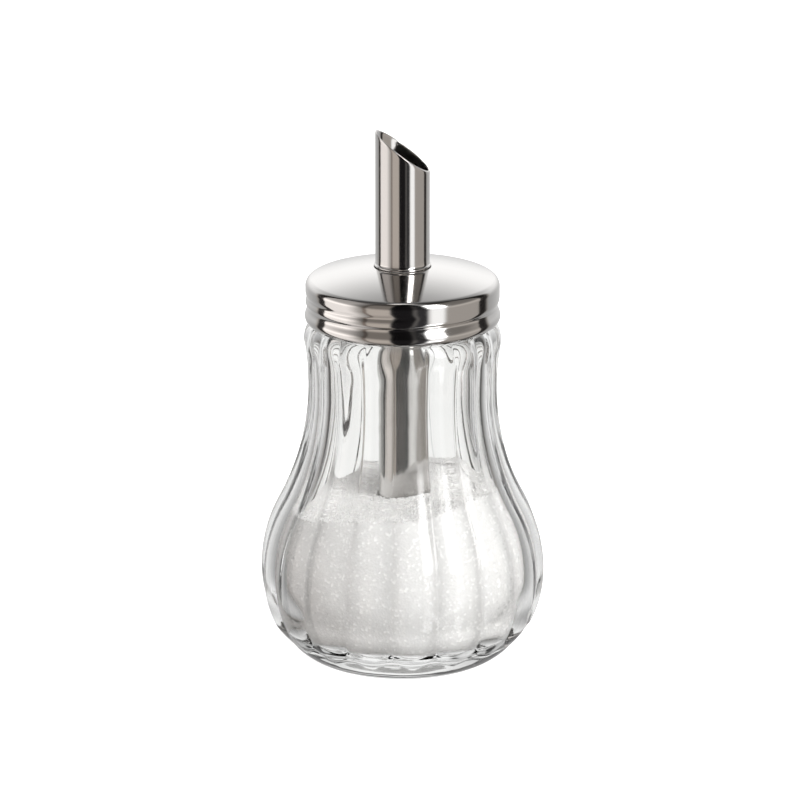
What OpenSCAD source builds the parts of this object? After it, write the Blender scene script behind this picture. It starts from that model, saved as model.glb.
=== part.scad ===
// Sugar dispenser: a lobed glass jar on a plain foot, closed by a polished steel
// screw lid that carries a slant-cut pouring tube reaching down into the sugar.
// Millimetres. The jar stands on z = 0 with its axis on Z; the tube's cut faces +X.

/* [Glass body] */
// Radius of the belly, over the crests of the lobes
belly_r = 38; // [35:0.5:42]
// Height of the belly's widest level
belly_z = 24; // [21:0.5:28]
// Radius at which the belly curves up from the waist, seen from the side
belly_curve_r = 40; // [37:0.5:44]
// Radius of the waist, over the crests of the lobes
waist_r = 25.2; // [24.8:0.1:25.6]
// Height of the waist's narrowest level
waist_z = 75; // [72:0.5:78]
// Radius of the foot's outer edge
foot_r = 24; // [22:0.5:26]
// Height at which the glass body ends under the lid
shoulder_z = 92.2; // [91:0.2:96]
// Radius of the rolled shoulder under the lid
shoulder_r = 26.3; // [26:0.1:26.8]
// Radius of the shoulder's roll, seen from the side
shoulder_roll_r = 6; // [5:0.5:8]
// Thickness of the glass wall behind the valleys
wall_t = 2.6; // [2:0.1:3.2]
// Thickness of the glass floor
floor_t = 7; // [5:0.5:9]
// Radius of the corner between floor and wall, inside
floor_corner_r = 9; // [6:0.5:11]

/* [Lobes] */
// Number of lobes round the body
lobe_count = 18; // [12:1:24]
// Height of a lobe over the valleys beside it
lobe_h = 1; // [0.6:0.1:1.4]
// Angle of the first valley, from the front
lobe_phase = -5; // [-10:1:10]
// Height at which the lobes start
lobe_start_z = 4.5; // [3:0.5:8]
// Length of the rounded lower end of a lobe
lobe_start_l = 6; // [4:0.5:10]
// Distance from the shoulder's top down to the lobes' upper ends
lobe_end_gap = 3; // [2:0.2:8]
// Length of the rounded upper end of a lobe
lobe_end_l = 4.5; // [3:0.5:10]

/* [Foot] */
// Width of the flat ring that the jar stands on
foot_ring_w = 3.2; // [2:0.2:5]
// Depth of the hollow inside the foot ring
foot_hollow_h = 1.6; // [1:0.1:2.4]

/* [Neck] */
// Outer radius of the glass neck inside the lid
neck_r = 24.2; // [24:0.1:24.6]
// Height of the neck over the shoulder
neck_h = 9.8; // [8:0.2:10.4]
// Radius of the rounding on the rim of the neck
rim_round_r = 1.1; // [0.8:0.1:1.3]

/* [Lid] */
// Outer radius of the lid's skirt
lid_r = 25.8; // [25.6:0.1:26.4]
// Thickness of the steel sheet
sheet_t = 0.5; // [0.4:0.05:0.7]
// Radius of the shallow dome
dome_curve_r = 83; // [70:1:110]
// Radius of the rounded edge between dome and skirt
edge_r = 2.2; // [1.6:0.1:2.8]
// Distance from the top of the sealing ring down to the start of the rounded edge
edge_drop = 0.65; // [0.4:0.05:0.8]
// Gap between the glass shoulder and the bottom of the skirt
skirt_gap = 0.5; // [0.4:0.1:1]
// How far the bead at the bottom of the skirt stands out
bead_out = 0.2; // [0.1:0.05:0.4]
// Radius of the bead's lower side, seen from the side
bead_curl_r = 1.95; // [1.8:0.05:2.4]
// Height of the bead's crest over the bottom of the skirt
bead_crest_h = 1.7; // [1.4:0.05:1.75]
// Distance from the bead's crest up to the groove over it
groove_rise = 2.6; // [2:0.1:3]
// Depth of that groove
groove_d = 0.3; // [0.15:0.05:0.35]

/* [Seal] */
// Thickness of the sealing ring on the rim of the neck
seal_t = 1.2; // [0.8:0.1:1.6]
// Gap between the sealing ring and the inside of the lid
seal_gap = 0.3; // [0.2:0.1:0.4]

/* [Pouring tube] */
// Outer radius of the tube
tube_r = 7.25; // [6:0.25:8.5]
// Thickness of the tube's wall
tube_t = 0.5; // [0.4:0.05:0.8]
// Height of the tube's tip over the top of the dome
tube_rise = 36.5; // [28:0.5:46]
// Angle of the slanted mouth, from the horizontal
mouth_angle = 37; // [25:1:45]
// Gap between the lower end of the tube and the glass floor
tube_floor_gap = 12; // [8:0.5:18]
// Gap between the tube and the hole in the dome
tube_hole_gap = 0.05; // [0.02:0.01:0.1]
// How far the bead on the tube stands out, where it rests on the dome
tube_bead_out = 0.3; // [0.2:0.05:0.6]

/* [Retaining ring] */
// Width of the ring that holds the tube under the dome
ring_w = 2.6; // [2:0.1:3.5]
// Thickness of that ring
ring_t = 1; // [0.8:0.1:1.6]

/* [Sugar] */
// Height of the sugar's surface at the tube
sugar_z = 44; // [34:0.5:52]
// Slope of the sugar's surface, higher on the side of the mouth
sugar_slope = 5; // [0:0.5:8]
// Gap that the sugar leaves to the glass
sugar_wall_gap = 0.05; // [0.03:0.01:0.1]
// Gap that the sugar leaves round the tube
sugar_tube_gap = 0.3; // [0.25:0.05:0.5]

/* [Hidden] */
$fn = 96;
eps = 0.01;
far = 400;

// Glass body, over the crests: a quarter ellipse up to the belly, an arc over
// the belly, a tangent hollow arc through the waist, and the shoulder's roll.
foot_curve_c = 20;
foot_curve_a = belly_r - foot_curve_c;
foot_curve_b = belly_z / sqrt(1 - pow((foot_r + lobe_h / 2 - foot_curve_c) / foot_curve_a, 2));
belly_c = belly_r - belly_curve_r;
waist_dz = waist_z - belly_z;
waist_dr = waist_r - belly_c;
waist_curve_r = (waist_dr * waist_dr + waist_dz * waist_dz - belly_curve_r * belly_curve_r)
              / (2 * (belly_curve_r - waist_dr));
waist_c = waist_r + waist_curve_r;
turn_z = belly_z + waist_dz * belly_curve_r / (belly_curve_r + waist_curve_r);
roll_z = shoulder_z - shoulder_roll_r * 0.7;

function crest_r(z) =
    z < belly_z ? foot_curve_c + foot_curve_a * sqrt(1 - pow((belly_z - z) / foot_curve_b, 2)) :
    z < turn_z ? belly_c + sqrt(pow(belly_curve_r, 2) - pow(z - belly_z, 2)) :
    z < waist_z ? waist_arc_r(z) : min(waist_arc_r(z), roll_arc_r(z));
function waist_arc_r(z) = waist_c - sqrt(pow(waist_curve_r, 2) - pow(z - waist_z, 2));
function roll_arc_r(z) =
    shoulder_r - shoulder_roll_r + sqrt(pow(shoulder_roll_r, 2) - pow(max(0, z - roll_z), 2));

function ease(t) = let (u = min(1, max(0, t))) u * u * (3 - 2 * u);
lobe_top_z = shoulder_z - lobe_end_gap;
function lobe_in(z) = ease((z - lobe_start_z) / lobe_start_l);
function lobe_out(z) = ease((lobe_top_z - z) / lobe_end_l);

// A lobe swells as a half sine between two creases, and narrows to a round end.
function lobe_swell(a, z) =
    max(0, abs(sin(lobe_count / 2 * (a - lobe_phase))) - 1 + min(lobe_in(z), lobe_out(z)));
function body_r(a, z) =
    crest_r(z) - lobe_h * lobe_out(z) + lobe_h * lobe_swell(a, z);

steps_per_lobe = 6;
ring_steps = lobe_count * steps_per_lobe;
levels = concat(
    [for (z = [0 : 1 : 3]) z],
    [for (i = [0 : 5]) lobe_start_z + lobe_start_l * i / 5],
    [for (i = [1 : 14]) let (z0 = lobe_start_z + lobe_start_l, z1 = lobe_top_z - lobe_end_l)
        z0 + (z1 - z0) * i / 14],
    [for (i = [1 : 5]) lobe_top_z - lobe_end_l * (1 - i / 5)],
    [for (i = [1 : 4]) lobe_top_z + lobe_end_gap * i / 4]);

// Inside of the glass: a smooth offset behind the valleys, then a straight neck.
bore_r = neck_r - wall_t;
function inner_r(z) = z < waist_z
    ? max(bore_r, crest_r(z) - lobe_h - wall_t / cos(atan((crest_r(z + 1) - crest_r(z - 1)) / 2)))
    : bore_r;

// Lid, tube and seal levels, each worked out from what it sits on.
rim_z = shoulder_z + neck_h;
seal_z = rim_z;
skirt_z = shoulder_z + skirt_gap;
edge_c = lid_r - edge_r;
edge_z = seal_z + seal_t - edge_drop;
seal_r = min(lid_r - sheet_t - groove_d - seal_gap,
             edge_c + sqrt(max(0, pow(edge_r - sheet_t - seal_gap, 2) - edge_drop * edge_drop)));
dome_c = edge_z - sqrt(pow(dome_curve_r - edge_r, 2) - pow(edge_c, 2));
function dome_z(r) = dome_c + sqrt(pow(dome_curve_r, 2) - r * r);
dome_top_z = dome_z(0);
tip_z = dome_top_z + tube_rise;
mouth_z = tip_z - tube_r * tan(mouth_angle);
tube_end_z = floor_t + tube_floor_gap;

// Points of an arc round c, from angle a0 to a1.
function arc(c, r, a0, a1, n = 12) =
    [for (i = [0 : n]) let (a = a0 + (a1 - a0) * i / n) c + r * [cos(a), sin(a)]];

// Closed skin over rings of equal length, given as one list of points.
module skin(points, around) {
    rings = len(points) / around;
    polyhedron(points, concat(
        [[for (i = [0 : around - 1]) i]],
        [for (k = [0 : rings - 2], i = [0 : around - 1])
            let (j = (i + 1) % around, a = k * around, b = a + around)
            each [[a + i, b + i, b + j], [a + i, b + j, a + j]]],
        [[for (i = [around - 1 : -1 : 0]) (rings - 1) * around + i]]));
}

// Outside of the glass with its lobes.
module lobed_body() {
    skin([for (z = levels, i = [0 : ring_steps - 1])
        let (a = lobe_phase + 360 * i / ring_steps, r = body_r(a, z))
        [r * sin(a), -r * cos(a), z]], ring_steps);
}

// Space inside the glass, drawn in by gap and filled up to the height top.
module cavity(gap, top) {
    corner_c = inner_r(floor_t + floor_corner_r) - floor_corner_r;
    z0 = floor_t + floor_corner_r;
    rotate_extrude()
        polygon(concat(
            [[0, floor_t + gap]],
            arc([corner_c, z0], floor_corner_r - gap, -90, 0, 8),
            [for (i = [1 : 20]) let (z = z0 + (waist_z - z0) * i / 20) [inner_r(z) - gap, z]],
            [[bore_r - gap, top], [0, top]]));
}

// Neck that the lid screws over, with a rounded rim.
module neck() {
    rotate_extrude()
        polygon(concat(
            [[bore_r, shoulder_z - wall_t], [neck_r, shoulder_z - wall_t]],
            arc([neck_r - rim_round_r, rim_z - rim_round_r], rim_round_r, 0, 90, 6),
            arc([bore_r + rim_round_r, rim_z - rim_round_r], rim_round_r, 90, 180, 6)));
}

module jar() {
    color([0.82, 0.87, 0.84, 0.45])
        difference() {
            union() {
                lobed_body();
                neck();
            }
            cavity(0, rim_z + 1);
            translate([0, 0, -eps])
                cylinder(r1 = foot_r - foot_ring_w, r2 = foot_r - foot_ring_w - 3 * foot_hollow_h,
                         h = foot_hollow_h + eps);
        }
}

// Sugar in the jar and in the tube, with a thin slot where the tube stands in it.
module sugar() {
    color([0.96, 0.95, 0.93])
        difference() {
            cavity(sugar_wall_gap, waist_z);
            translate([0, 0, sugar_z])
                rotate([0, -sugar_slope, 0])
                    translate([-far / 2, -far / 2, 0])
                        cube(far);
            translate([0, 0, tube_end_z - sugar_tube_gap])
                difference() {
                    cylinder(r = tube_r + sugar_tube_gap, h = far);
                    translate([0, 0, -1])
                        cylinder(r = tube_r - tube_t - sugar_tube_gap, h = far + 2);
                }
        }
}

module seal_ring() {
    color([0.93, 0.93, 0.9])
        translate([0, 0, seal_z])
            difference() {
                cylinder(r = seal_r, h = seal_t);
                translate([0, 0, -1])
                    cylinder(r = bore_r, h = seal_t + 2);
            }
}

// Outline of the lid, drawn in by d: dome, rounded edge, skirt, groove and bead.
function lid_outline(d) =
    let (edge_a = asin(edge_c / (dome_curve_r - edge_r)),
         crest_z = skirt_z + bead_crest_h, groove_z = crest_z + groove_rise,
         out = lid_r - d + bead_out, curl = bead_curl_r,
         groove = lid_r - d - groove_d)
    concat(
        [for (i = [0 : 10]) let (a = edge_a * i / 10)
            [(dome_curve_r - d) * sin(a), dome_c + (dome_curve_r - d) * cos(a)]],
        arc([edge_c, edge_z], edge_r - d, 90 - edge_a, 0, 10),
        [for (i = [0 : 6]) [lid_r - d - groove_d * (1 - cos(30 * i)) / 2,
                            groove_z + groove_rise / 2 * (1 - i / 6)]],
        [for (i = [1 : 8]) [groove + (out - groove) * (1 - cos(22.5 * i)) / 2,
                            groove_z - groove_rise * i / 8]],
        [for (i = [1 : 5]) let (a = asin(bead_crest_h / curl) * i / 5)
            [out - curl * (1 - cos(a)), crest_z - curl * sin(a)]]);

module lid_shell() {
    color([0.78, 0.78, 0.77])
        difference() {
            rotate_extrude()
                polygon(concat(lid_outline(0), [[0, skirt_z]]));
            rotate_extrude()
                polygon(let (inner = lid_outline(sheet_t), end = inner[len(inner) - 1])
                    concat(inner, [[end[0], skirt_z - 1], [0, skirt_z - 1]]));
            translate([0, 0, edge_z])
                cylinder(r = tube_r + tube_hole_gap, h = far);
        }
}

// Straight tube with a slanted mouth and a bead that rests on the dome.
module pouring_tube() {
    bead_z = dome_c + sqrt(pow(dome_curve_r + tube_bead_out + eps, 2) - tube_r * tube_r);
    color([0.8, 0.8, 0.8])
        difference() {
            union() {
                translate([0, 0, tube_end_z])
                    cylinder(r = tube_r, h = tip_z - tube_end_z + 1);
                translate([0, 0, bead_z])
                    rotate_extrude()
                        translate([tube_r, 0])
                            circle(r = tube_bead_out, $fn = 24);
            }
            translate([0, 0, tube_end_z - 1])
                cylinder(r = tube_r - tube_t, h = far);
            translate([0, 0, mouth_z])
                rotate([0, mouth_angle, 0])
                    translate([-far / 2, -far / 2, 0])
                        cube(far);
        }
}

// Ring pressed on the tube under the dome, so the tube can't be pulled out.
module retaining_ring() {
    ring_z = dome_z(tube_r + ring_w) - sheet_t - ring_t - eps;
    color([0.7, 0.7, 0.7])
        translate([0, 0, ring_z])
            difference() {
                cylinder(r = tube_r + ring_w, h = ring_t);
                translate([0, 0, -1])
                    cylinder(r = tube_r + tube_hole_gap, h = ring_t + 2);
            }
}

jar();
sugar();
seal_ring();
retaining_ring();
lid_shell();
pouring_tube();
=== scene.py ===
import math

import bmesh
import bpy
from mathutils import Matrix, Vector


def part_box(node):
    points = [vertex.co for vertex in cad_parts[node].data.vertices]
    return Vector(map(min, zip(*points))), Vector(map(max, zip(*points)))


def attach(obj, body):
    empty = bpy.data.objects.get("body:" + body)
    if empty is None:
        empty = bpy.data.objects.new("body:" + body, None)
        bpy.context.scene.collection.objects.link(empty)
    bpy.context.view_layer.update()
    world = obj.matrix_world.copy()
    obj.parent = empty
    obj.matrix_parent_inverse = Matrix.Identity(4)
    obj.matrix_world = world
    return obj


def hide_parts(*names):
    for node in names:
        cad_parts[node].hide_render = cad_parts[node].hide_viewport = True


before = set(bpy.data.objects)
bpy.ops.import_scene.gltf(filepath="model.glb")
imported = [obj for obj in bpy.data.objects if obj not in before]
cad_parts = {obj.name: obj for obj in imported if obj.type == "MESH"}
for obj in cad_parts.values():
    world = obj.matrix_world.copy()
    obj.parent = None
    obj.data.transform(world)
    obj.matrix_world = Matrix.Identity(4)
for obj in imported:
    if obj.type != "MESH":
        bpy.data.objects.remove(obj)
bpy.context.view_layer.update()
mm = 0.001

# Jar. One piece of pressed clear glass: a pear-shaped body of eighteen convex lobes that swell
# between creases and run out in round ends, on a plain thick foot with a hollow under it. The neck
# above has a moulded thread for the lid, and the wall inside follows the lobes a little less.
LOBES = 18
LOBE_HEIGHT = 1.0 * mm
LOBE_PHASE = math.radians(-5)
LOBE_START, LOBE_START_LENGTH = 4.5 * mm, 6 * mm
LOBE_END_LENGTH = 9 * mm
LOBE_END_SOFTNESS = 0.12  # share of a lobe's height
CREASE_WIDTH = 0.004  # added to the square of the wave, which rounds its valleys
INNER_RELIEF, INNER_START_LENGTH = 0.75, 8 * mm
BELLY_RADIUS, BELLY_Z, BELLY_CURVE = 38 * mm, 24 * mm, 40 * mm
WAIST_RADIUS, WAIST_Z = 25.2 * mm, 75 * mm
FOOT_RADIUS, FOOT_CENTRE = 24 * mm, 20 * mm
SHOULDER_RADIUS, SHOULDER_ROLL, SHOULDER_Z = 26.3 * mm, 6 * mm, 92.2 * mm
ROLL_Z = SHOULDER_Z - 0.7 * SHOULDER_ROLL
WALL, FLOOR, FLOOR_CORNER = 2.6 * mm, 7 * mm, 9 * mm
FOOT_RING, FOOT_HOLLOW, HOLLOW_SLOPE = 3.2 * mm, 1.6 * mm, 4.8 * mm
NECK_RADIUS = 24.2 * mm
BORE = NECK_RADIUS - WALL
RIM_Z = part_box("jar")[1].z
RIM_ROUND = 1.1 * mm
THREAD_PITCH, THREAD_ROUNDNESS = 3.2 * mm, 0.3
THREAD_FADE = 0.035  # turns before and after a thread's end
JAR_THREAD_HEIGHT, JAR_THREAD_START = 0.36 * mm, SHOULDER_Z + 3.4 * mm
JAR_THREAD_TURNS = 0.05, 1.45
HOLLOW_ROWS, BODY_ROWS, NECK_ROWS, INSIDE_ROWS, FLOOR_ROWS = 6, 130, 40, 44, 6
ROUND_STEPS, CORNER_STEPS = 8, 12
TURN_STEPS = LOBES * 20
STEP_CROWDING = 0.55  # 0 spaces the steps of a turn evenly
MERGE_DISTANCE = 0.002 * mm
GLASS_TINT = (0.985, 0.988, 0.98, 1)
# Painted shade: the share of a lamp's light that passes at a crease, set by a fixed mask in the glass.
PAINTED_CREASE_LIGHT = 0.8  # share of a lamp's light that passes at a crease


def ease(t):
    """From 0 to 1 along a soft S as t goes from 0 to 1."""
    t = min(1.0, max(0.0, t))
    return t * t * (3 - 2 * t)


def spread(start, end, count):
    """Values from start to end, both included, in so many even steps."""
    return [start + (end - start) * i / count for i in range(count + 1)]


def arc(centre, radius, start, end, count):
    """Points of an arc, in degrees from the outward direction, anticlockwise with z up."""
    return [(centre[0] + radius * math.cos(a), centre[1] + radius * math.sin(a))
            for a in (math.radians(degrees) for degrees in spread(start, end, count))]


def crest_radius(z):
    """Radius over the lobes' crests: quarter ellipse, belly arc, hollow waist arc, shoulder roll."""
    reach = BELLY_RADIUS - FOOT_CENTRE
    foot_reach = FOOT_RADIUS + LOBE_HEIGHT / 2 - FOOT_CENTRE
    foot_drop = BELLY_Z / math.sqrt(1 - (foot_reach / reach) ** 2)
    belly_centre = BELLY_RADIUS - BELLY_CURVE
    rise, run = WAIST_Z - BELLY_Z, WAIST_RADIUS - belly_centre
    waist_curve = (run * run + rise * rise - BELLY_CURVE ** 2) / (2 * (BELLY_CURVE - run))
    turn_z = BELLY_Z + rise * BELLY_CURVE / (BELLY_CURVE + waist_curve)
    if z < BELLY_Z:
        return FOOT_CENTRE + reach * math.sqrt(1 - ((BELLY_Z - z) / foot_drop) ** 2)
    if z < turn_z:
        return belly_centre + math.sqrt(BELLY_CURVE ** 2 - (z - BELLY_Z) ** 2)
    waist = WAIST_RADIUS + waist_curve - math.sqrt(waist_curve ** 2 - (z - WAIST_Z) ** 2)
    if z < WAIST_Z:
        return waist
    over = max(0.0, z - ROLL_Z)
    roll = SHOULDER_RADIUS - SHOULDER_ROLL + math.sqrt(SHOULDER_ROLL ** 2 - over ** 2)
    return min(waist, roll)


def valley_radius(z):
    """Radius in the creases between the lobes."""
    return crest_radius(z) - LOBE_HEIGHT * lobe_relief(z)


def inner_radius(z):
    """Radius of the wall inside at the creases, a wall's thickness behind them."""
    if z >= WAIST_Z:
        return BORE
    slope = (crest_radius(z + mm) - crest_radius(z - mm)) / (2 * mm)
    return max(BORE, crest_radius(z) - LOBE_HEIGHT - WALL * math.hypot(1, slope))


def lobe_share(z):
    """How much of a lobe's width stands out, which draws its round end over the foot."""
    return ease((z - LOBE_START) / LOBE_START_LENGTH)


def lobe_relief(z):
    """How deep the creases are, which fade out under the lid."""
    return ease((SHOULDER_Z - z) / LOBE_END_LENGTH)


def feed(tree, target, inputs):
    """Feeds a node's inputs, by name or number, with sockets or plain values."""
    for key, value in dict(inputs).items():
        if isinstance(value, bpy.types.NodeSocket):
            tree.links.new(value, target.inputs[key])
        else:
            target.inputs[key].default_value = value


def node(tree, kind, inputs=(), **settings):
    """Adds a node to a tree, sets its properties and feeds its inputs."""
    added = tree.nodes.new(kind)
    for name, value in settings.items():
        setattr(added, name, value)
    feed(tree, added, inputs)
    return added


def maths(tree, operation, *values):
    """A maths node, or a chain of them for a sum or product of more than two values."""
    if operation in ("ADD", "MULTIPLY") and len(values) > 2:
        values = maths(tree, operation, *values[:-1]), values[-1]
    return node(tree, "ShaderNodeMath", enumerate(values), operation=operation).outputs[0]


def remap(tree, value, start, end, low=0.0, high=1.0, smooth=False):
    """Takes a value from the range start to end over to the range low to high."""
    return node(tree, "ShaderNodeMapRange", {
        "Value": value, "From Min": start, "From Max": end, "To Min": low, "To Max": high},
        interpolation_type="SMOOTHSTEP" if smooth else "LINEAR").outputs[0]


def azimuth_of(tree, x, y):
    """Angle round Z, from the front to the right."""
    return maths(tree, "ARCTAN2", x, maths(tree, "MULTIPLY", y, -1.0))


def group_inputs(tree, inputs, outputs):
    """Gives a tree its named inputs and outputs, each of some kind, and returns the inputs."""
    for way, names in (("INPUT", inputs), ("OUTPUT", outputs)):
        for name, kind in names.items():
            tree.interface.new_socket(name, in_out=way, socket_type="NodeSocket" + kind)
    return tree.nodes.new("NodeGroupInput").outputs


def put_out(tree, shape, material):
    """Ends a Geometry Nodes tree with real geometry in one material."""
    real = node(tree, "GeometryNodeRealizeInstances", {0: shape})
    painted = node(tree, "GeometryNodeSetMaterial", {0: real.outputs[0], "Material": material})
    node(tree, "NodeGroupOutput", {0: painted.outputs[0]})


def lathe_tree():
    """Turns a profile round Z, then raises lobes, a helical thread and a slanted end where the
    profile's own point attributes ask for them. Turns are counted from the front, where x is 0."""
    tree = bpy.data.node_groups.new("lathe", "GeometryNodeTree")
    given = group_inputs(tree, {
        "Profile": "Geometry", "Steps": "Int", "Lobes": "Int", "Lobe Height": "Float",
        "Lobe Phase": "Float", "Crease Width": "Float", "Thread Pitch": "Float",
        "Thread Height": "Float", "Thread Start": "Float", "First Turn": "Float",
        "Last Turn": "Float", "Thread Roundness": "Float", "Slant": "Float",
        "Material": "Material"}, {"Geometry": "Geometry"})

    def asked(name):
        return node(tree, "GeometryNodeInputNamedAttribute", {"Name": name},
                    data_type="FLOAT").outputs[0]

    profile = node(tree, "GeometryNodeMeshToCurve", {0: given["Profile"]})
    ring = node(tree, "GeometryNodeCurvePrimitiveCircle", {"Resolution": given["Steps"], "Radius": 1.0})
    turned = node(tree, "GeometryNodeCurveToMesh", {0: ring.outputs[0], 1: profile.outputs[0]})
    # Only the direction of a turned point counts: its place comes from the profile's attributes.
    place = node(tree, "GeometryNodeInputPosition").outputs[0]
    x, y, _ = node(tree, "ShaderNodeSeparateXYZ", {0: place}).outputs
    even = azimuth_of(tree, x, y)
    # The steps crowd together at the creases, which are the sharpest part.
    lobe_turn = maths(tree, "MULTIPLY", given["Lobes"],
                      maths(tree, "SUBTRACT", even, given["Lobe Phase"]))
    crowding = maths(tree, "DIVIDE", maths(
        tree, "MULTIPLY", maths(tree, "SINE", lobe_turn), STEP_CROWDING), given["Lobes"])
    angle = maths(tree, "SUBTRACT", even, crowding)

    # A lobe swells like a sine wave with its valleys folded up, rounded where they are sharpest.
    wave = maths(tree, "SINE", maths(tree, "MULTIPLY", given["Lobes"], 0.5, maths(
        tree, "SUBTRACT", angle, given["Lobe Phase"])))
    swell = maths(tree, "SQRT", maths(
        tree, "ADD", maths(tree, "MULTIPLY", wave, wave), given["Crease Width"]))
    raised = maths(tree, "ADD", maths(tree, "SUBTRACT", swell, 1.0), asked("lobe"))
    rise = maths(tree, "SMOOTH_MAX", raised, 0.0, LOBE_END_SOFTNESS)
    lobe = maths(tree, "MULTIPLY", rise, asked("relief"), given["Lobe Height"])

    # The thread is such a wave along the height, shifted by a pitch a turn and faded at its ends.
    height = asked("height")
    turns = maths(tree, "DIVIDE", angle, 2 * math.pi)
    along = maths(tree, "SUBTRACT", maths(tree, "DIVIDE", maths(
        tree, "SUBTRACT", height, given["Thread Start"]), given["Thread Pitch"]), turns)
    slope = maths(tree, "SINE", maths(tree, "MULTIPLY", along, math.pi))
    roundness = given["Thread Roundness"]
    flank = maths(tree, "SQRT", maths(tree, "ADD", maths(tree, "MULTIPLY", slope, slope), roundness))
    full = maths(tree, "SQRT", maths(tree, "ADD", 1.0, roundness))
    ridge = maths(tree, "DIVIDE", maths(tree, "SUBTRACT", full, flank),
                  maths(tree, "SUBTRACT", full, maths(tree, "SQRT", roundness)))
    turned_by = maths(tree, "ADD", maths(tree, "ROUND", along), turns)
    begun = remap(tree, maths(tree, "SUBTRACT", turned_by, given["First Turn"]),
                  -THREAD_FADE, THREAD_FADE, smooth=True)
    left = remap(tree, maths(tree, "SUBTRACT", given["Last Turn"], turned_by),
                 -THREAD_FADE, THREAD_FADE, smooth=True)
    thread = maths(tree, "MULTIPLY", ridge, asked("thread"), begun, left, given["Thread Height"])

    out = maths(tree, "ADD", asked("distance"), lobe, thread)
    east = maths(tree, "MULTIPLY", out, maths(tree, "SINE", angle))
    north = maths(tree, "MULTIPLY", out, maths(tree, "COSINE", angle), -1.0)
    up = maths(tree, "ADD", height, maths(tree, "MULTIPLY", east, given["Slant"], asked("slant")))
    there = node(tree, "ShaderNodeCombineXYZ", {0: east, 1: north, 2: up})
    moved = node(tree, "GeometryNodeSetPosition", {0: turned.outputs[0], "Position": there.outputs[0]})
    merged = node(tree, "GeometryNodeMergeByDistance", {
        0: moved.outputs[0], "Distance": MERGE_DISTANCE})
    smooth = node(tree, "GeometryNodeSetShadeSmooth", {0: merged.outputs[0]})
    put_out(tree, smooth.outputs[0], given["Material"])
    return tree


LATHE = lathe_tree()


def add_object(name, data):
    """A new object in the scene for a mesh, lamp or camera."""
    added = bpy.data.objects.new(name, data)
    bpy.context.scene.collection.objects.link(added)
    return added


def grown(source, tree, values):
    """The mesh that a Geometry Nodes tree makes of an object, given its inputs by name."""
    modifier = source.modifiers.new(tree.name, "NODES")
    modifier.node_group = tree
    for item in tree.interface.items_tree:
        if item.in_out == "INPUT" and item.name in values:
            modifier[item.identifier] = values[item.name]
    evaluated = source.evaluated_get(bpy.context.evaluated_depsgraph_get())
    mesh = bpy.data.meshes.new_from_object(evaluated)
    source.modifiers.clear()
    return mesh


def face_outwards(mesh):
    """Turns the faces of a closed mesh outwards."""
    shape = bmesh.new()
    shape.from_mesh(mesh)
    bmesh.ops.recalc_face_normals(shape, faces=shape.faces)
    if shape.calc_volume(signed=True) < 0:
        bmesh.ops.reverse_faces(shape, faces=shape.faces)
    shape.to_mesh(mesh)
    shape.free()


def turn(name, material, points, closed=True, steps=TURN_STEPS, **inputs):
    """A lathed piece. Each point is (radius, height, and shares of lobe, relief, thread, slant)."""
    count = len(points)
    profile = bpy.data.meshes.new(name + "_profile")
    links = [(i, i + 1) for i in range(count - 1)] + ([(count - 1, 0)] if closed else [])
    profile.from_pydata([(p[0], p[1], 0) for p in points], links, [])
    for column, label in enumerate(("distance", "height", "lobe", "relief", "thread", "slant")):
        layer = profile.attributes.new(label, "FLOAT", "POINT")
        layer.data.foreach_set("value", [p[column] if column < len(p) else 0.0 for p in points])
    source = add_object(name + "_source", profile)
    mesh = grown(source, LATHE, {
        "Steps": steps, "Crease Width": CREASE_WIDTH, "Thread Pitch": THREAD_PITCH,
        "Thread Roundness": THREAD_ROUNDNESS, "Material": material, **inputs})
    bpy.data.objects.remove(source)
    face_outwards(mesh)
    mesh.name = name
    return add_object(name, mesh)


def new_material(name):
    """A material, its node tree and its Principled shader."""
    material = bpy.data.materials.new(name)
    material.use_nodes = True
    return material, material.node_tree, material.node_tree.nodes["Principled BSDF"]


def pressed_surface():
    """Normal of a pressed surface: long shallow waves from the mould and the melt."""
    group = bpy.data.node_groups.new("pressed surface", "ShaderNodeTree")
    given = group_inputs(group, {"Scale": "Float", "Depth": "Float"}, {"Normal": "Vector"})
    place = node(group, "ShaderNodeTexCoord").outputs["Object"]
    noise = node(group, "ShaderNodeTexNoise", {
        "Vector": place, "Scale": given["Scale"], "Detail": 2.0})
    bump = node(group, "ShaderNodeBump", {
        "Height": noise.outputs[0], "Strength": given["Depth"], "Distance": 1 * mm})
    node(group, "NodeGroupOutput", {0: bump.outputs[0]})
    return group


def clear_glass():
    """Soda-lime glass with a faint grey-green body. Lamps shine straight through it, with painted shade
    at the creases.
    """
    material, tree, glass = new_material("clear_glass")
    waves = node(tree, "ShaderNodeGroup", {"Scale": 60.0, "Depth": 0.12},
                 node_tree=pressed_surface())
    feed(tree, glass, {"Base Color": GLASS_TINT, "Roughness": 0.0, "IOR": 1.5,
                       "Transmission Weight": 1.0, "Normal": waves.outputs["Normal"]})
    # Painted shade: shadow rays pass less light at the creases, by a fixed mask round the jar, in place
    # of the way a lobe gathers the light behind its middle.
    place = node(tree, "ShaderNodeTexCoord").outputs["Object"]
    x, y, _ = node(tree, "ShaderNodeSeparateXYZ", {0: place}).outputs
    wave = maths(tree, "SINE", maths(tree, "MULTIPLY", maths(
        tree, "SUBTRACT", azimuth_of(tree, x, y), LOBE_PHASE), LOBES / 2))
    painted_crease_light = remap(tree, maths(tree, "ABSOLUTE", wave), 0.0, 0.9, PAINTED_CREASE_LIGHT, 1.0, smooth=True)
    open_way = node(tree, "ShaderNodeBsdfTransparent", {"Color": painted_crease_light})
    rays = node(tree, "ShaderNodeLightPath").outputs
    mix = node(tree, "ShaderNodeMixShader", {
        0: rays["Is Shadow Ray"], 1: glass.outputs[0], 2: open_way.outputs[0]})
    feed(tree, tree.nodes["Material Output"], {"Surface": mix.outputs[0]})
    return material


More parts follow.
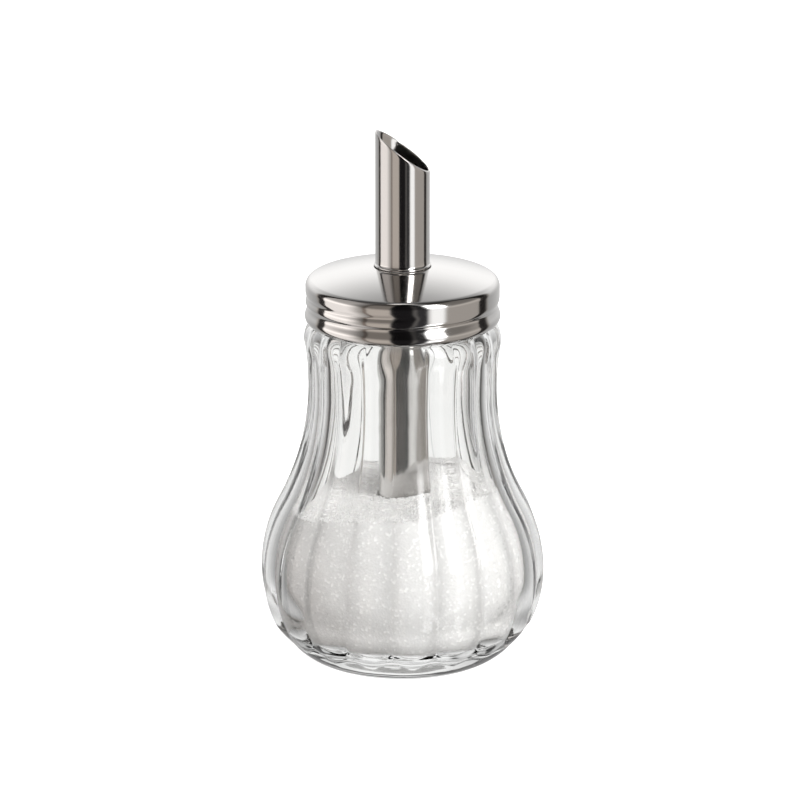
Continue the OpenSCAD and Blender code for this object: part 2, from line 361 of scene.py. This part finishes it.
def jar_profile():
    """Section of the glass, from the hollow under the foot over the rim to the floor inside."""
    hollow_radius = FOOT_RADIUS - FOOT_RING - HOLLOW_SLOPE
    hollow = [(radius, FOOT_HOLLOW) for radius in spread(0, hollow_radius, HOLLOW_ROWS)]
    hollow += [(hollow_radius + HOLLOW_SLOPE * t, FOOT_HOLLOW * (1 - ease(t)))
               for t in spread(0, 1, HOLLOW_ROWS)[1:]]
    outside = [(valley_radius(z), z, lobe_share(z), lobe_relief(z))
               for z in spread(0, SHOULDER_Z, BODY_ROWS)]
    outside += [(NECK_RADIUS, z, 0, 0, 1)
                for z in spread(SHOULDER_Z, RIM_Z - RIM_ROUND, NECK_ROWS)[1:]]
    rim = arc((NECK_RADIUS - RIM_ROUND, RIM_Z - RIM_ROUND), RIM_ROUND, 0, 90, ROUND_STEPS)[1:]
    rim += arc((BORE + RIM_ROUND, RIM_Z - RIM_ROUND), RIM_ROUND, 90, 180, ROUND_STEPS)
    start = FLOOR + FLOOR_CORNER
    inside = [(inner_radius(z), z, 1, INNER_RELIEF * lobe_relief(z)
               * ease((z - start) / INNER_START_LENGTH))
              for z in spread(SHOULDER_Z, start, INSIDE_ROWS)[:-1]]
    flat = inner_radius(start) - FLOOR_CORNER
    corner = arc((flat, start), FLOOR_CORNER, 0, -90, CORNER_STEPS)
    floor = [(radius, FLOOR) for radius in spread(flat, 0, FLOOR_ROWS)[1:]]
    return hollow + outside + rim + inside + corner + floor


LOBED = {"Lobes": LOBES, "Lobe Height": LOBE_HEIGHT, "Lobe Phase": LOBE_PHASE}
jar = turn("glass_jar", clear_glass(), jar_profile(), closed=False, **LOBED,
           **{"Thread Height": JAR_THREAD_HEIGHT, "Thread Start": JAR_THREAD_START,
              "First Turn": JAR_THREAD_TURNS[0], "Last Turn": JAR_THREAD_TURNS[1]})
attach(jar, "jar")
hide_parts("jar")

# Sugar. White granulated sugar that fills the belly to under half the height of the glass and is
# heaped a little to the right. Loose crystals glint on its surface, and the tube stands in it.
GRAIN, GRAIN_COUNT, GRAIN_SEED = 0.36 * mm, 9000, 7
CRYSTAL_SKEW, CRYSTAL_LENGTH = 0.3, 1.25
CRYSTAL_SMALLEST, CRYSTAL_LARGEST = 0.6, 1.2
CRYSTAL_TURN = (6.28, 6.28, 6.28)
LOOSE_DEPTH, LOOSE_LEVEL = 8 * mm, 0.6
SUGAR_DULL, SUGAR_PALE = (0.9, 0.893, 0.888, 1), (0.97, 0.965, 0.962, 1)
SUGAR_INSET = 0.2 * mm
SUGAR_Z, SUGAR_TOP = 44 * mm, 4 * mm
SUGAR_SLOPE = math.radians(7)
SUGAR_HEAP, SUGAR_CALM = 0.9 * mm, 23.75 * mm
WAVE_X, WAVE_Y, WAVE_START, RIPPLE_X, RIPPLE_Y = 190, 160, 0.8, 120, 310  # radians per metre
SUGAR_SETTLED = 1.6 * mm
SUGAR_SIDE = 0.6 * BELLY_RADIUS
BOTTOM_ROWS, SIDE_ROWS, TOP_ROWS, TOP_LOBE_ROWS, CORE_ROWS = 8, 30, 24, 4, 6
SUGAR_STEPS = LOBES * 10
TUBE_RADIUS = 7.25 * mm
TUBE_WALL = 0.5 * mm
TUBE_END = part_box("pouring_tube")[0].z
SLOT = 0.3 * mm


def sugar_profile():
    """Section of the fill, with a slot for the tube's wall and a core inside the tube."""
    start = FLOOR + FLOOR_CORNER
    flat = inner_radius(start) - FLOOR_CORNER
    bottom = [(radius, FLOOR + SUGAR_INSET) for radius in spread(0, flat, BOTTOM_ROWS)]
    corner = arc((flat, start), FLOOR_CORNER - SUGAR_INSET, -90, 0, CORNER_STEPS)
    side = [(inner_radius(z) - SUGAR_INSET, z, 1, INNER_RELIEF * ease((z - start) / INNER_START_LENGTH))
            for z in spread(start, SUGAR_Z, SIDE_ROWS)[1:]]
    rows = enumerate(spread(side[-1][0], TUBE_RADIUS + SLOT, TOP_ROWS))
    top = [(radius, SUGAR_Z, 1, INNER_RELIEF * max(0, 1 - i / TOP_LOBE_ROWS)) for i, radius in rows]
    core = TUBE_RADIUS - TUBE_WALL - SLOT
    slot = [(TUBE_RADIUS + SLOT, TUBE_END - SLOT), (core, TUBE_END - SLOT)]
    inner = [(radius, SUGAR_Z) for radius in spread(core, 0, CORE_ROWS)]
    return bottom + corner + side + top[1:] + slot + inner


def blend(tree, share, first, second, how="MIX"):
    """Colour from the first to the second as share goes from 0 to 1."""
    return node(tree, "ShaderNodeMix", {0: share, 6: first, 7: second}, data_type="RGBA",
                blend_type=how).outputs[2]


def sugar_material():
    """Crystals: white, matt in the mass, with a fine grain, a scatter of smoother facets and painted
    glints on a scatter of grains lighter in colour.
    """
    material, tree, shader = new_material("granulated_sugar")
    place = node(tree, "ShaderNodeTexCoord").outputs["Object"]
    grains = node(tree, "ShaderNodeTexVoronoi", {"Vector": place, "Scale": 1600.0}).outputs
    clouds = node(tree, "ShaderNodeTexNoise", {"Vector": place, "Scale": 90.0, "Detail": 4.0})
    tone = blend(tree, clouds.outputs[0], SUGAR_DULL, SUGAR_PALE)
    # Each grain draws two numbers: by the one, a fifth of the grains are lighter in colour, which is a
    # painted glint, and by the other, two fifths of them are smoother.
    facet, painted_glint, _ = node(tree, "ShaderNodeSeparateColor", {0: grains["Color"]}).outputs
    shade = remap(tree, painted_glint, 0.8, 1.0, 0.93, 1.16)
    bump = node(tree, "ShaderNodeBump", {
        "Height": grains["Distance"], "Strength": 0.4, "Distance": 0.2 * mm})
    feed(tree, shader, {"Base Color": blend(tree, 1.0, tone, shade, "MULTIPLY"),
                        "Roughness": remap(tree, facet, 0.6, 1.0, 0.75, 0.15),
                        "Normal": bump.outputs[0]})
    return material


SUGAR = sugar_material()


def crystal():
    """One sugar crystal: a small skewed block."""
    shape = bmesh.new()
    bmesh.ops.create_cube(shape, size=1.0)
    for corner in shape.verts:
        corner.co.x += CRYSTAL_SKEW * corner.co.z
        corner.co.z *= CRYSTAL_LENGTH
    mesh = bpy.data.meshes.new("crystal")
    shape.to_mesh(mesh)
    shape.free()
    return add_object("crystal", mesh)


def scatter_tree(grain):
    """Strews crystals over loose faces, each turned and sized at random from one fixed seed."""
    tree = bpy.data.node_groups.new("strewn crystals", "GeometryNodeTree")
    given = group_inputs(tree, {"Surface": "Geometry", "Density": "Float", "Grain Size": "Float",
                                "Seed": "Int", "Material": "Material"}, {"Geometry": "Geometry"})
    loose = node(tree, "GeometryNodeInputNamedAttribute", {"Name": "loose"}, data_type="FLOAT")
    points = node(tree, "GeometryNodeDistributePointsOnFaces", {
        0: given["Surface"], "Seed": given["Seed"],
        "Density": maths(tree, "MULTIPLY", given["Density"], loose.outputs[0])})
    one = node(tree, "GeometryNodeObjectInfo", {0: grain})
    turns = node(tree, "FunctionNodeRandomValue", {1: CRYSTAL_TURN, "Seed": given["Seed"]},
                 data_type="FLOAT_VECTOR")
    sizes = node(tree, "FunctionNodeRandomValue", {
        2: CRYSTAL_SMALLEST, 3: CRYSTAL_LARGEST, "Seed": given["Seed"]}, data_type="FLOAT")
    strewn = node(tree, "GeometryNodeInstanceOnPoints", {
        0: points.outputs[0], "Instance": one.outputs["Geometry"], "Rotation": turns.outputs[0],
        "Scale": maths(tree, "MULTIPLY", sizes.outputs[1], given["Grain Size"])})
    both = node(tree, "GeometryNodeJoinGeometry")
    for shape in (strewn.outputs[0], given["Surface"]):
        tree.links.new(shape, both.inputs[0])
    put_out(tree, both.outputs[0], given["Material"])
    return tree


def sugar_fill():
    """The fill, with a sloping uneven top that keeps to the wall, and crystals loose on it."""
    fill = turn("sugar_fill", SUGAR, sugar_profile(), closed=False, steps=SUGAR_STEPS, **LOBED)
    for point in fill.data.vertices:
        x, y, z = point.co
        beside = math.hypot(x, y)
        top = ease((z - SUGAR_Z + SUGAR_TOP) / SUGAR_TOP)
        wave = math.sin(x * WAVE_X + WAVE_START) * math.cos(y * WAVE_Y)
        ripple = math.sin(y * RIPPLE_Y + x * RIPPLE_X)
        heap = SUGAR_HEAP * ((wave + ripple) / 2) * min(1, beside / SUGAR_CALM)
        point.co.z += top * (SUGAR_SETTLED + x * math.tan(SUGAR_SLOPE) + heap)
        if top > 0 and beside > SUGAR_SIDE:
            squeeze = 1 + (inner_radius(point.co.z) - inner_radius(z)) / beside
            point.co.x *= squeeze
            point.co.y *= squeeze
    # Crystals lie loose on the surface only. Against the glass the grains are pressed flat.
    faces = fill.data.polygons
    loose = [float(face.normal.z > LOOSE_LEVEL and face.center.z > SUGAR_Z - LOOSE_DEPTH)
             for face in faces]
    fill.data.attributes.new("loose", "FLOAT", "FACE").data.foreach_set("value", loose)
    area = sum(face.area for face, share in zip(faces, loose) if share)
    grain = crystal()
    fill.data = grown(fill, scatter_tree(grain), {
        "Density": GRAIN_COUNT / area, "Grain Size": GRAIN, "Seed": GRAIN_SEED, "Material": SUGAR})
    bpy.data.objects.remove(grain)
    return fill


sugar = sugar_fill()
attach(sugar, "jar")
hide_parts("sugar")

# Seal ring. A flat ring of soft white plastic that lies in the lid and meets the rim of the glass.
# It is stamped from sheet, so its edges are slightly rounded.
SEAL_ROUND = 0.25 * mm
SEAL_DULL, SEAL_PALE = (0.8, 0.8, 0.77, 1), (0.88, 0.88, 0.86, 1)
EDGE_STEPS, RING_STEPS = 4, 180


def flat_ring(name, material, inner, outer, low, high, rounding):
    """A flat ring with rounded edges, between two radii and two heights."""
    points = []
    for i, centre in enumerate(((outer - rounding, low + rounding),
                                (outer - rounding, high - rounding),
                                (inner + rounding, high - rounding),
                                (inner + rounding, low + rounding))):
        points += arc(centre, rounding, 90 * i - 90, 90 * i, EDGE_STEPS)
    return turn(name, material, points, steps=RING_STEPS)


def seal_material():
    """Soft white plastic, faintly mottled and uneven."""
    material, tree, shader = new_material("seal_plastic")
    place = node(tree, "ShaderNodeTexCoord").outputs["Object"]
    noise = node(tree, "ShaderNodeTexNoise", {"Vector": place, "Scale": 700.0, "Detail": 3.0})
    bump = node(tree, "ShaderNodeBump", {
        "Height": noise.outputs[0], "Strength": 0.15, "Distance": 0.2 * mm})
    tone = blend(tree, noise.outputs[0], SEAL_DULL, SEAL_PALE)
    feed(tree, shader, {"Base Color": tone, "Roughness": 0.45, "Normal": bump.outputs[0]})
    return material


seal_low, seal_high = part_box("seal_ring")
seal = flat_ring("seal_ring_soft", seal_material(), BORE, seal_high.x, seal_low.z, seal_high.z,
                 SEAL_ROUND)
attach(seal, "seal")
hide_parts("seal_ring")

# Retaining ring. A turned steel ring pressed on the tube under the dome. It keeps the tube in the
# lid and is left as it came off the lathe.
RING_ROUND = 0.2 * mm
LID_HOLE = TUBE_RADIUS + 0.05 * mm
POLISH_LINES, POLISH_DEPTH = 9 / mm, 0.004 * mm
POLISH_BREAKS = 3.0  # along a line, for each radian round the piece
SMUDGE_ROUGHNESS, LINE_ROUGHNESS, LINE_SHADE = 0.16, 0.08, 0.6


def polish_group():
    """Steel's finish: fine lines round the piece, under faint smudges that dull it."""
    group = bpy.data.node_groups.new("polished steel", "ShaderNodeTree")
    given = group_inputs(group, {"Tint": "Color", "Roughness": "Float", "Marks": "Float"},
                         {"Base Color": "Color", "Roughness": "Float", "Normal": "Vector"})
    place = node(group, "ShaderNodeTexCoord").outputs["Object"]
    x, y, z = node(group, "ShaderNodeSeparateXYZ", {0: place}).outputs
    radius = maths(group, "SQRT", maths(
        group, "ADD", maths(group, "MULTIPLY", x, x), maths(group, "MULTIPLY", y, y)))
    lines = node(group, "ShaderNodeCombineXYZ", {
        0: maths(group, "MULTIPLY", radius, POLISH_LINES),
        1: maths(group, "MULTIPLY", z, POLISH_LINES),
        2: maths(group, "MULTIPLY", maths(group, "ARCTAN2", x, y), POLISH_BREAKS)})
    grain = node(group, "ShaderNodeTexNoise", {
        "Vector": lines.outputs[0], "Scale": 1.0, "Detail": 3.0})
    smudge = node(group, "ShaderNodeTexNoise", {
        "Vector": place, "Scale": 55.0, "Detail": 5.0, "Roughness": 0.6})
    worn = maths(group, "MULTIPLY", smudge.outputs[0], given["Marks"], SMUDGE_ROUGHNESS)
    lined = maths(group, "MULTIPLY", grain.outputs[0], given["Marks"], LINE_ROUGHNESS)
    shade = maths(group, "SUBTRACT", 1.0, maths(group, "MULTIPLY", lined, LINE_SHADE))
    bump = node(group, "ShaderNodeBump", {
        "Height": grain.outputs[0], "Strength": given["Marks"], "Distance": POLISH_DEPTH})
    node(group, "NodeGroupOutput", {
        "Base Color": blend(group, 1.0, given["Tint"], shade, "MULTIPLY"),
        "Roughness": maths(group, "ADD", given["Roughness"], worn, lined),
        "Normal": bump.outputs[0]})
    return group


POLISH = polish_group()


def steel(name, tint, roughness, marks):
    """Stainless steel of some tint, its finish from the shared group."""
    material, tree, shader = new_material(name)
    finish = node(tree, "ShaderNodeGroup", {
        "Tint": (*tint, 1), "Roughness": roughness, "Marks": marks}, node_tree=POLISH).outputs
    feed(tree, shader, {"Metallic": 1.0, "Base Color": finish["Base Color"],
                        "Roughness": finish["Roughness"], "Normal": finish["Normal"]})
    return material


ring_low, ring_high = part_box("retaining_ring")
ring = flat_ring("retaining_ring_steel", steel("turned_steel", (0.66, 0.65, 0.63), 0.25, 1.0),
                 LID_HOLE, ring_high.x, ring_low.z, ring_high.z, RING_ROUND)
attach(ring, "ring")
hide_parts("retaining_ring")

# Lid. Stainless sheet pressed to a shallow dome with a round edge, polished bright outside. The
# thread is rolled into the skirt from outside as a long groove, over a bead round the open bottom.
SHEET = 0.5 * mm
LID_RADIUS = 25.8 * mm
EDGE_ROUND = 2.2 * mm
DOME_CURVE = 83 * mm
BEAD_OUT, BEAD_CURL, BEAD_CREST = 0.2 * mm, 1.95 * mm, 1.7 * mm
GROOVE_RISE, GROOVE_DEPTH, GROOVE_FILL = 2.6 * mm, 0.5 * mm, 0.45
LID_THREAD_DEPTH, LID_THREAD_RISE, LID_THREAD_ROUNDNESS = 0.34 * mm, 7.7 * mm, 0.08
LID_THREAD_TURNS = -1.0, 0.005
THREAD_ROOM = 0.12 * mm
EDGE_UNDER_SEAL = 0.65 * mm
SKIRT_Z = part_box("lid_shell")[0].z
EDGE_Z = seal_high.z - EDGE_UNDER_SEAL
DOME_CENTRE = EDGE_Z - math.sqrt((DOME_CURVE - EDGE_ROUND) ** 2 - (LID_RADIUS - EDGE_ROUND) ** 2)
DOME_ROWS, LID_EDGE_ROWS, SKIRT_ROWS, GROOVE_ROWS, BELOW_ROWS, BEAD_ROWS = 24, 20, 28, 9, 16, 10


def half_wave(t):
    """From 0 to 1 along half a cosine wave."""
    return (1 - math.cos(math.pi * t)) / 2


def lid_outline(inset):
    """Dome from the hole outwards, round edge, threaded skirt, groove and bead, set in by inset."""
    radius, side = DOME_CURVE - inset, LID_RADIUS - inset
    hole = math.asin(LID_HOLE / radius)
    reach = math.asin((LID_RADIUS - EDGE_ROUND) / (DOME_CURVE - EDGE_ROUND))
    crest = SKIRT_Z + BEAD_CREST
    groove = crest + GROOVE_RISE
    high = groove + GROOVE_RISE / 2
    # Inside, groove and bead are shallower, which leaves the thread of the neck room to pass.
    depth = GROOVE_DEPTH - GROOVE_FILL * inset
    narrowest = NECK_RADIUS + JAR_THREAD_HEIGHT + THREAD_ROOM
    dome = [(radius * math.sin(a), DOME_CENTRE + radius * math.cos(a))
            for a in spread(hole, reach, DOME_ROWS)[:-1]]
    edge = arc((LID_RADIUS - EDGE_ROUND, EDGE_Z), EDGE_ROUND - inset, 90 - math.degrees(reach), 0,
               LID_EDGE_ROWS)
    skirt = [(side, z, 0, 0, 1) for z in spread(EDGE_Z, high, SKIRT_ROWS)[1:]]
    skirt += [(side - depth * half_wave(t), high + (groove - high) * t, 0, 0, 1)
              for t in spread(0, 1, GROOVE_ROWS)[1:]]
    # The thread runs out in the groove's lower flank.
    skirt += [(side - depth + (depth + BEAD_OUT) * half_wave(t), groove - GROOVE_RISE * t,
               0, 0, ease(1.9 - 2 * t)) for t in spread(0, 1, BELOW_ROWS)[1:]]
    bead = [(max(side + BEAD_OUT - BEAD_CURL * (1 - math.cos(a)), narrowest),
             crest - BEAD_CURL * math.sin(a))
            for a in spread(0, math.asin(BEAD_CREST / BEAD_CURL), BEAD_ROWS)[1:]]
    return dome + edge + skirt + bead


lid_steel = steel("polished_lid_steel", (0.8, 0.785, 0.77), 0.05, 0.35)
lid = turn("lid_shell_steel", lid_steel, lid_outline(0) + lid_outline(SHEET)[::-1],
           **{"Thread Height": -LID_THREAD_DEPTH, "Thread Start": SKIRT_Z + LID_THREAD_RISE,
              "First Turn": LID_THREAD_TURNS[0], "Last Turn": LID_THREAD_TURNS[1],
              "Thread Roundness": LID_THREAD_ROUNDNESS})
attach(lid, "lid")
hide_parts("lid_shell")

# Pouring tube. Drawn stainless tube, cut on a slant at the top, with its edge rounded off, and
# straight at the bottom. A small bead round it rests on the dome.
MOUTH_ANGLE = math.radians(37)
TUBE_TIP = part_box("pouring_tube")[1].z
MOUTH_Z = TUBE_TIP - TUBE_RADIUS * math.tan(MOUTH_ANGLE)
BEAD_ROUND = 0.3 * mm
END_ROUND = 0.12 * mm
LOWER_ROWS, UPPER_ROWS = 20, 40


def tube_profile():
    """Section of the tube's wall, from its lower end up over the bead to the mouth, and down."""
    inner, half_wall = TUBE_RADIUS - TUBE_WALL, TUBE_WALL / 2
    bead_z = DOME_CENTRE + math.sqrt((DOME_CURVE + BEAD_ROUND) ** 2 - TUBE_RADIUS ** 2)
    bead = arc((TUBE_RADIUS, bead_z), BEAD_ROUND, -90, 90, CORNER_STEPS)
    bead_bottom, bead_top = bead[0][1], bead[-1][1]
    start, top = TUBE_END + 2 * END_ROUND, MOUTH_Z - half_wall

    def slanting(radius):
        """Points from the bead to the mouth that lean more and more."""
        return [(radius, z, 0, 0, 0, ease((z - bead_top) / (top - bead_top)))
                for z in spread(bead_top, top, UPPER_ROWS)[1:]]

    end_z = TUBE_END + END_ROUND
    outside = arc((TUBE_RADIUS - END_ROUND, end_z), END_ROUND, -90, 0, EDGE_STEPS)
    outside += [(TUBE_RADIUS, z) for z in spread(start, bead_bottom, LOWER_ROWS)[:-1]]
    outside += bead + slanting(TUBE_RADIUS)
    rim = [(radius, z, 0, 0, 0, 1)
           for radius, z in arc((TUBE_RADIUS - half_wall, top), half_wall, 0, 180, ROUND_STEPS)[1:-1]]
    inside = slanting(inner)[::-1]
    inside += [(inner, z) for z in spread(bead_top, start, LOWER_ROWS)]
    inside += arc((inner + END_ROUND, end_z), END_ROUND, 180, 270, EDGE_STEPS)
    return outside + rim + inside


tube_steel = steel("polished_tube_steel", (0.78, 0.765, 0.75), 0.06, 0.45)
tube = turn("pouring_tube_steel", tube_steel, tube_profile(), steps=RING_STEPS,
            Slant=-math.tan(MOUTH_ANGLE))
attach(tube, "lid")
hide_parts("pouring_tube")

# Setting. A white studio: pale floor, a bright surround with narrow dark gaps that steel and glass
# mirror as stripes, two soft lamps in front and one behind, and a long lens slightly above the jar.
VIEW_WIDTH = 213.3 * mm
SENSOR_WIDTH = 36
LENS_DISTANCE = 1.6
ELEVATION = math.radians(17)
AIM = (-0.67 * mm, 0, 70.6 * mm)
LAMP_AIM = Vector((0, 0, 60 * mm))
LAMPS = (
    # name, place and size in metres, power in watts
    ("key", (0.5, -0.6, 0.65), (0.5, 0.6), 4.3),
    ("fill", (-0.15, -0.8, 0.6), (0.7, 0.6), 4.2),
    ("back", (-0.3, 0.85, 0.6), (0.7, 0.5), 3.0))
TABLE_RADIUS, TABLE_GLOW = 2.5, 0.7
WALLS = (0.36, 0.34, 0.32, 1)
CARDS = (
    # from and to azimuth, softness of the two edges, colour of the light
    (-105, -60, 3, 26, (1.0, 0.945, 0.915, 1)),
    (-48.5, -43.5, 4, 4, (0.22, 0.18, 0.155, 1)),
    (-43, -15, 3, 4, (0.52, 0.465, 0.42, 1)),
    (-14, 14, 4, 8, (0.012, 0.011, 0.012, 1)),
    (14, 31, 12, 3, (0.035, 0.034, 0.036, 1)),
    (53, 103, 3, 4, (0.39, 0.362, 0.335, 1)),
    (-118, -105.5, 6, 2, (0.03, 0.027, 0.026, 1)),
    (103, 119, 3, 10, (0.02, 0.018, 0.017, 1)))
WINDOW_CARD = (32, 52, 10, 8)
# Azimuths, to either side, between which one part of the studio passes into the next.
SIDES_FROM, BACK_FROM = (46, 60), (118, 126)
# Between two angles, the brightness goes from one level to another: of the backdrop by azimuth,
# and through the glass of the backdrop by azimuth and of the table by elevation.
BACK_FADE = (112, 168, 0.5, 1.0)
GLASS_BACK_FADE = (122, 168, 0.28, 1.0)
GLASS_TABLE_FADE = (-50, -28, 0.5, 0.0)
GLASS_DIM, GLASS_HAZE = 0.2, 0.06
# Brightness by elevation in degrees: of the window, of what is at the sides and in front, and of
# the backdrop.
WINDOW = ((-90, 0.5), (-40, 0.5), (-37, 3.5), (-30, 3.5), (-27, 1.15), (5, 1.15), (11, 6), (50, 6),
          (56, 0.4), (90, 0.4))
SIDES = ((-90, 0.14), (-72, 0.2), (-50, 0.75), (-35, 1.0), (-14, 1.0), (4, 1.4), (12, 0.9),
         (20, 0.5), (52, 0.4), (63, 0.12), (80, 0.1), (84, 1.4), (90, 1.4))
FRONT = ((-90, 0.14), (-72, 0.2), (-50, 0.75), (-35, 1.0), (-12, 1.0), (2, 0.75), (14, 0.4),
         (50, 0.35), (63, 0.12), (80, 0.1), (84, 1.4), (90, 1.4))
BACK = ((-90, 0.45), (-30, 0.58), (-17, 0.64), (-8, 0.72), (0, 0.84), (8, 1.04), (15, 1.17),
        (22, 1.15), (28, 1.03), (35, 0.8), (44, 0.52), (55, 0.28), (66, 0.12), (80, 0.1), (84, 1.4),
        (90, 1.4))


def card_group():
    """Hangs a card with soft edges between two azimuths, in degrees, in front of what is there."""
    group = bpy.data.node_groups.new("studio card", "ShaderNodeTree")
    given = group_inputs(group, {
        "Behind": "Color", "Azimuth": "Float", "From": "Float", "To": "Float",
        "First Edge": "Float", "Second Edge": "Float", "Light": "Color"}, {"Light": "Color"})

    def past(place, edge):
        half = maths(group, "MULTIPLY", edge, 0.5)
        return remap(group, given["Azimuth"], maths(group, "SUBTRACT", place, half),
                     maths(group, "ADD", place, half), smooth=True)

    there = maths(group, "SUBTRACT", past(given["From"], given["First Edge"]),
                  past(given["To"], given["Second Edge"]))
    node(group, "NodeGroupOutput", {0: blend(group, there, given["Behind"], given["Light"])})
    return group


def surround():
    """The studio as steel and glass mirror it, with plain white where the camera sees past them."""
    world = bpy.data.worlds.new("studio")
    bpy.context.scene.world = world
    world.use_nodes = True
    tree = world.node_tree
    tree.nodes.clear()
    way = node(tree, "ShaderNodeTexCoord").outputs["Generated"]
    x, y, z = node(tree, "ShaderNodeSeparateXYZ", {0: way}).outputs
    azimuth = maths(tree, "DEGREES", azimuth_of(tree, x, y))
    aside = maths(tree, "ABSOLUTE", azimuth)
    elevation = maths(tree, "DEGREES", maths(tree, "ARCSINE", z))
    rays = node(tree, "ShaderNodeLightPath").outputs
    in_glass = rays["Is Transmission Ray"]
    card = card_group()

    def by_elevation(levels, most=2.0):
        """Brightness from stops of (elevation, level), which a ramp holds as shares of the most."""
        height = maths(tree, "ADD", maths(tree, "DIVIDE", elevation, 180.0), 0.5)
        ramp = node(tree, "ShaderNodeValToRGB", {0: height})
        stops = ramp.color_ramp.elements
        stops.remove(stops[1])
        for i, (angle, level) in enumerate(levels):
            place = (angle + 90) / 180
            stop = stops[0] if i == 0 else stops.new(place)
            stop.position = place
            stop.color = (level / most, level / most, level / most, 1)
        return maths(tree, "MULTIPLY", ramp.outputs[0], most)

    def hang(behind, start, end, first_edge, second_edge, light):
        """A card in front of what is behind."""
        return node(tree, "ShaderNodeGroup", {
            "Behind": behind, "Azimuth": azimuth, "From": start, "To": end,
            "First Edge": first_edge, "Second Edge": second_edge, "Light": light},
            node_tree=card).outputs[0]

    walls = WALLS
    for placing in CARDS:
        walls = hang(walls, *placing)
    # The cards beside the lens are lower than the ones at the sides.
    beside = remap(tree, aside, *SIDES_FROM, smooth=True)
    level = node(tree, "ShaderNodeMix", {0: beside, 2: by_elevation(FRONT), 3: by_elevation(SIDES)},
                 data_type="FLOAT").outputs[0]
    room = hang(blend(tree, 1.0, walls, level, "MULTIPLY"), *WINDOW_CARD,
                by_elevation(WINDOW, 8.0))
    # Behind the jar the backdrop is brightest a little over the table's edge and dims to both sides.
    backdrop = blend(tree, 1.0, by_elevation(BACK), remap(tree, aside, *BACK_FADE), "MULTIPLY")
    behind = remap(tree, aside, *BACK_FROM, smooth=True)
    studio = blend(tree, behind, room, backdrop)

    # Through the glass the backdrop and the table are as white as beside it, and the rest is dimmer,
    # down to a haze from the pale room in front, which keeps it from going black.
    bright = remap(tree, aside, *GLASS_BACK_FADE)
    below = remap(tree, elevation, *GLASS_TABLE_FADE)
    through = maths(tree, "MULTIPLY", maths(tree, "MAXIMUM", behind, below), in_glass)
    dimmer = maths(tree, "SUBTRACT", 1.0, maths(tree, "MULTIPLY", in_glass, GLASS_DIM))
    clear = blend(tree, through, blend(tree, 1.0, studio, dimmer, "MULTIPLY"),
                  maths(tree, "MAXIMUM", bright, below))
    hazy = blend(tree, 1.0, clear, maths(tree, "MULTIPLY", in_glass, GLASS_HAZE), "LIGHTEN")
    sky = node(tree, "ShaderNodeBackground", {"Color": hazy, "Strength": 1.0})
    white = node(tree, "ShaderNodeBackground", {"Color": (1, 1, 1, 1), "Strength": 1.0})
    seen = node(tree, "ShaderNodeMixShader", {
        0: rays["Is Camera Ray"], 1: sky.outputs[0], 2: white.outputs[0]})
    node(tree, "ShaderNodeOutputWorld", {0: seen.outputs[0]})


surround()


def pale_floor():
    """A white table that glows for the camera, shows the shadow, and is open from below."""
    shape = bmesh.new()
    bmesh.ops.create_circle(shape, cap_ends=True, radius=TABLE_RADIUS, segments=64)
    mesh = bpy.data.meshes.new("floor")
    shape.to_mesh(mesh)
    shape.free()
    floor = add_object("floor", mesh)
    material, tree, shader = new_material("pale_floor")
    feed(tree, shader, {"Base Color": (0.9, 0.9, 0.9, 1), "Roughness": 0.7,
                        "Specular IOR Level": 0.1})
    glow = node(tree, "ShaderNodeEmission", {"Color": (1, 1, 1, 1), "Strength": TABLE_GLOW})
    lit = node(tree, "ShaderNodeAddShader", {0: shader.outputs[0], 1: glow.outputs[0]})
    rays = node(tree, "ShaderNodeLightPath").outputs
    seen = node(tree, "ShaderNodeMixShader", {
        0: rays["Is Camera Ray"], 1: shader.outputs[0], 2: lit.outputs[0]})
    one_sided = node(tree, "ShaderNodeMixShader", {
        0: node(tree, "ShaderNodeNewGeometry").outputs["Backfacing"], 1: seen.outputs[0],
        2: node(tree, "ShaderNodeBsdfTransparent").outputs[0]})
    feed(tree, tree.nodes["Material Output"], {"Surface": one_sided.outputs[0]})
    mesh.materials.append(material)
    floor.visible_glossy = False
    floor.visible_transmission = False


pale_floor()


def softbox(name, place, size, energy):
    """A lamp aimed at the jar's middle that steel and glass don't mirror."""
    light = bpy.data.lights.new(name, "AREA")
    light.shape = "RECTANGLE"
    light.size, light.size_y = size
    light.energy = energy
    lamp = add_object(name, light)
    lamp.location = place
    lamp.rotation_euler = (LAMP_AIM - Vector(place)).to_track_quat("-Z", "Y").to_euler()
    lamp.visible_glossy = False
    lamp.visible_transmission = False


for lamp in LAMPS:
    softbox(*lamp)


def long_lens():
    """A camera far enough to keep uprights parallel, with the view's width at the jar."""
    data = bpy.data.cameras.new("camera")
    data.sensor_width = SENSOR_WIDTH
    data.lens = SENSOR_WIDTH * LENS_DISTANCE / VIEW_WIDTH
    data.clip_end = 20
    camera = add_object("camera", data)
    camera.location = (AIM[0], AIM[1] - LENS_DISTANCE * math.cos(ELEVATION),
                       AIM[2] + LENS_DISTANCE * math.sin(ELEVATION))
    camera.rotation_euler = (math.pi / 2 - ELEVATION, 0, 0)
    bpy.context.scene.camera = camera


long_lens()
bpy.context.scene.view_settings.view_transform = "Standard"
bpy.context.scene.cycles.max_bounces = 32
bpy.context.scene.cycles.transmission_bounces = 28
bpy.context.scene.cycles.glossy_bounces = 12
